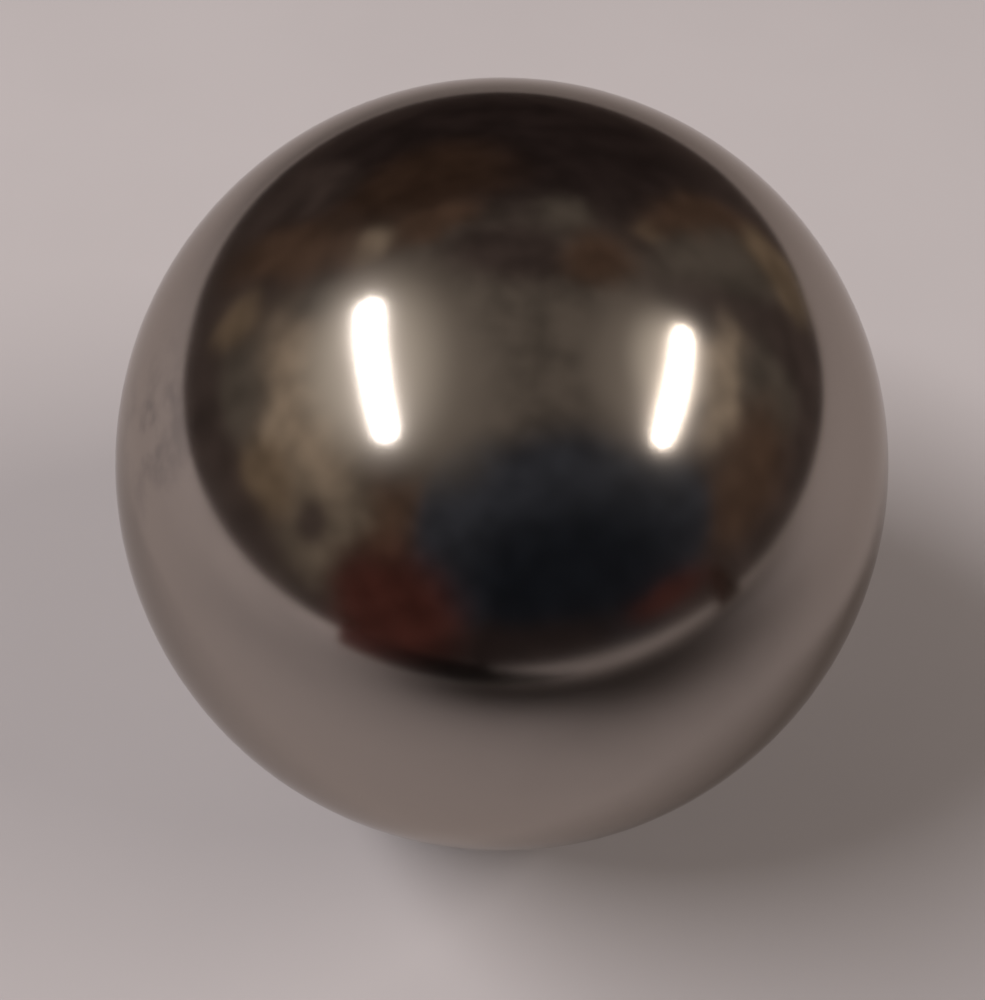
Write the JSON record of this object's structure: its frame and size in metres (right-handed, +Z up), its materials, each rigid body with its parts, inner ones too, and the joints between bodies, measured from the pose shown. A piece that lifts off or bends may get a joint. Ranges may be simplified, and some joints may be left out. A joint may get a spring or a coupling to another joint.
{
  "type": "steel ball",
  "caption": "Solid steel ball, ground and polished to a mirror finish, with faint handling smudges. A loose ball for a bearing, a valve, a mill or a desk.",
  "frame": {"origin": "centre of the ball", "axes": "+Z up; the ball is the same about every axis through its centre, so X and Y are free"},
  "size_m": [0.05, 0.05, 0.05],
  "materials": {
    "polished_steel": "polished, mirror bright"
  },
  "bodies": {
    "root": {"ball": "polished_steel"}
  },
  "joints": []
}
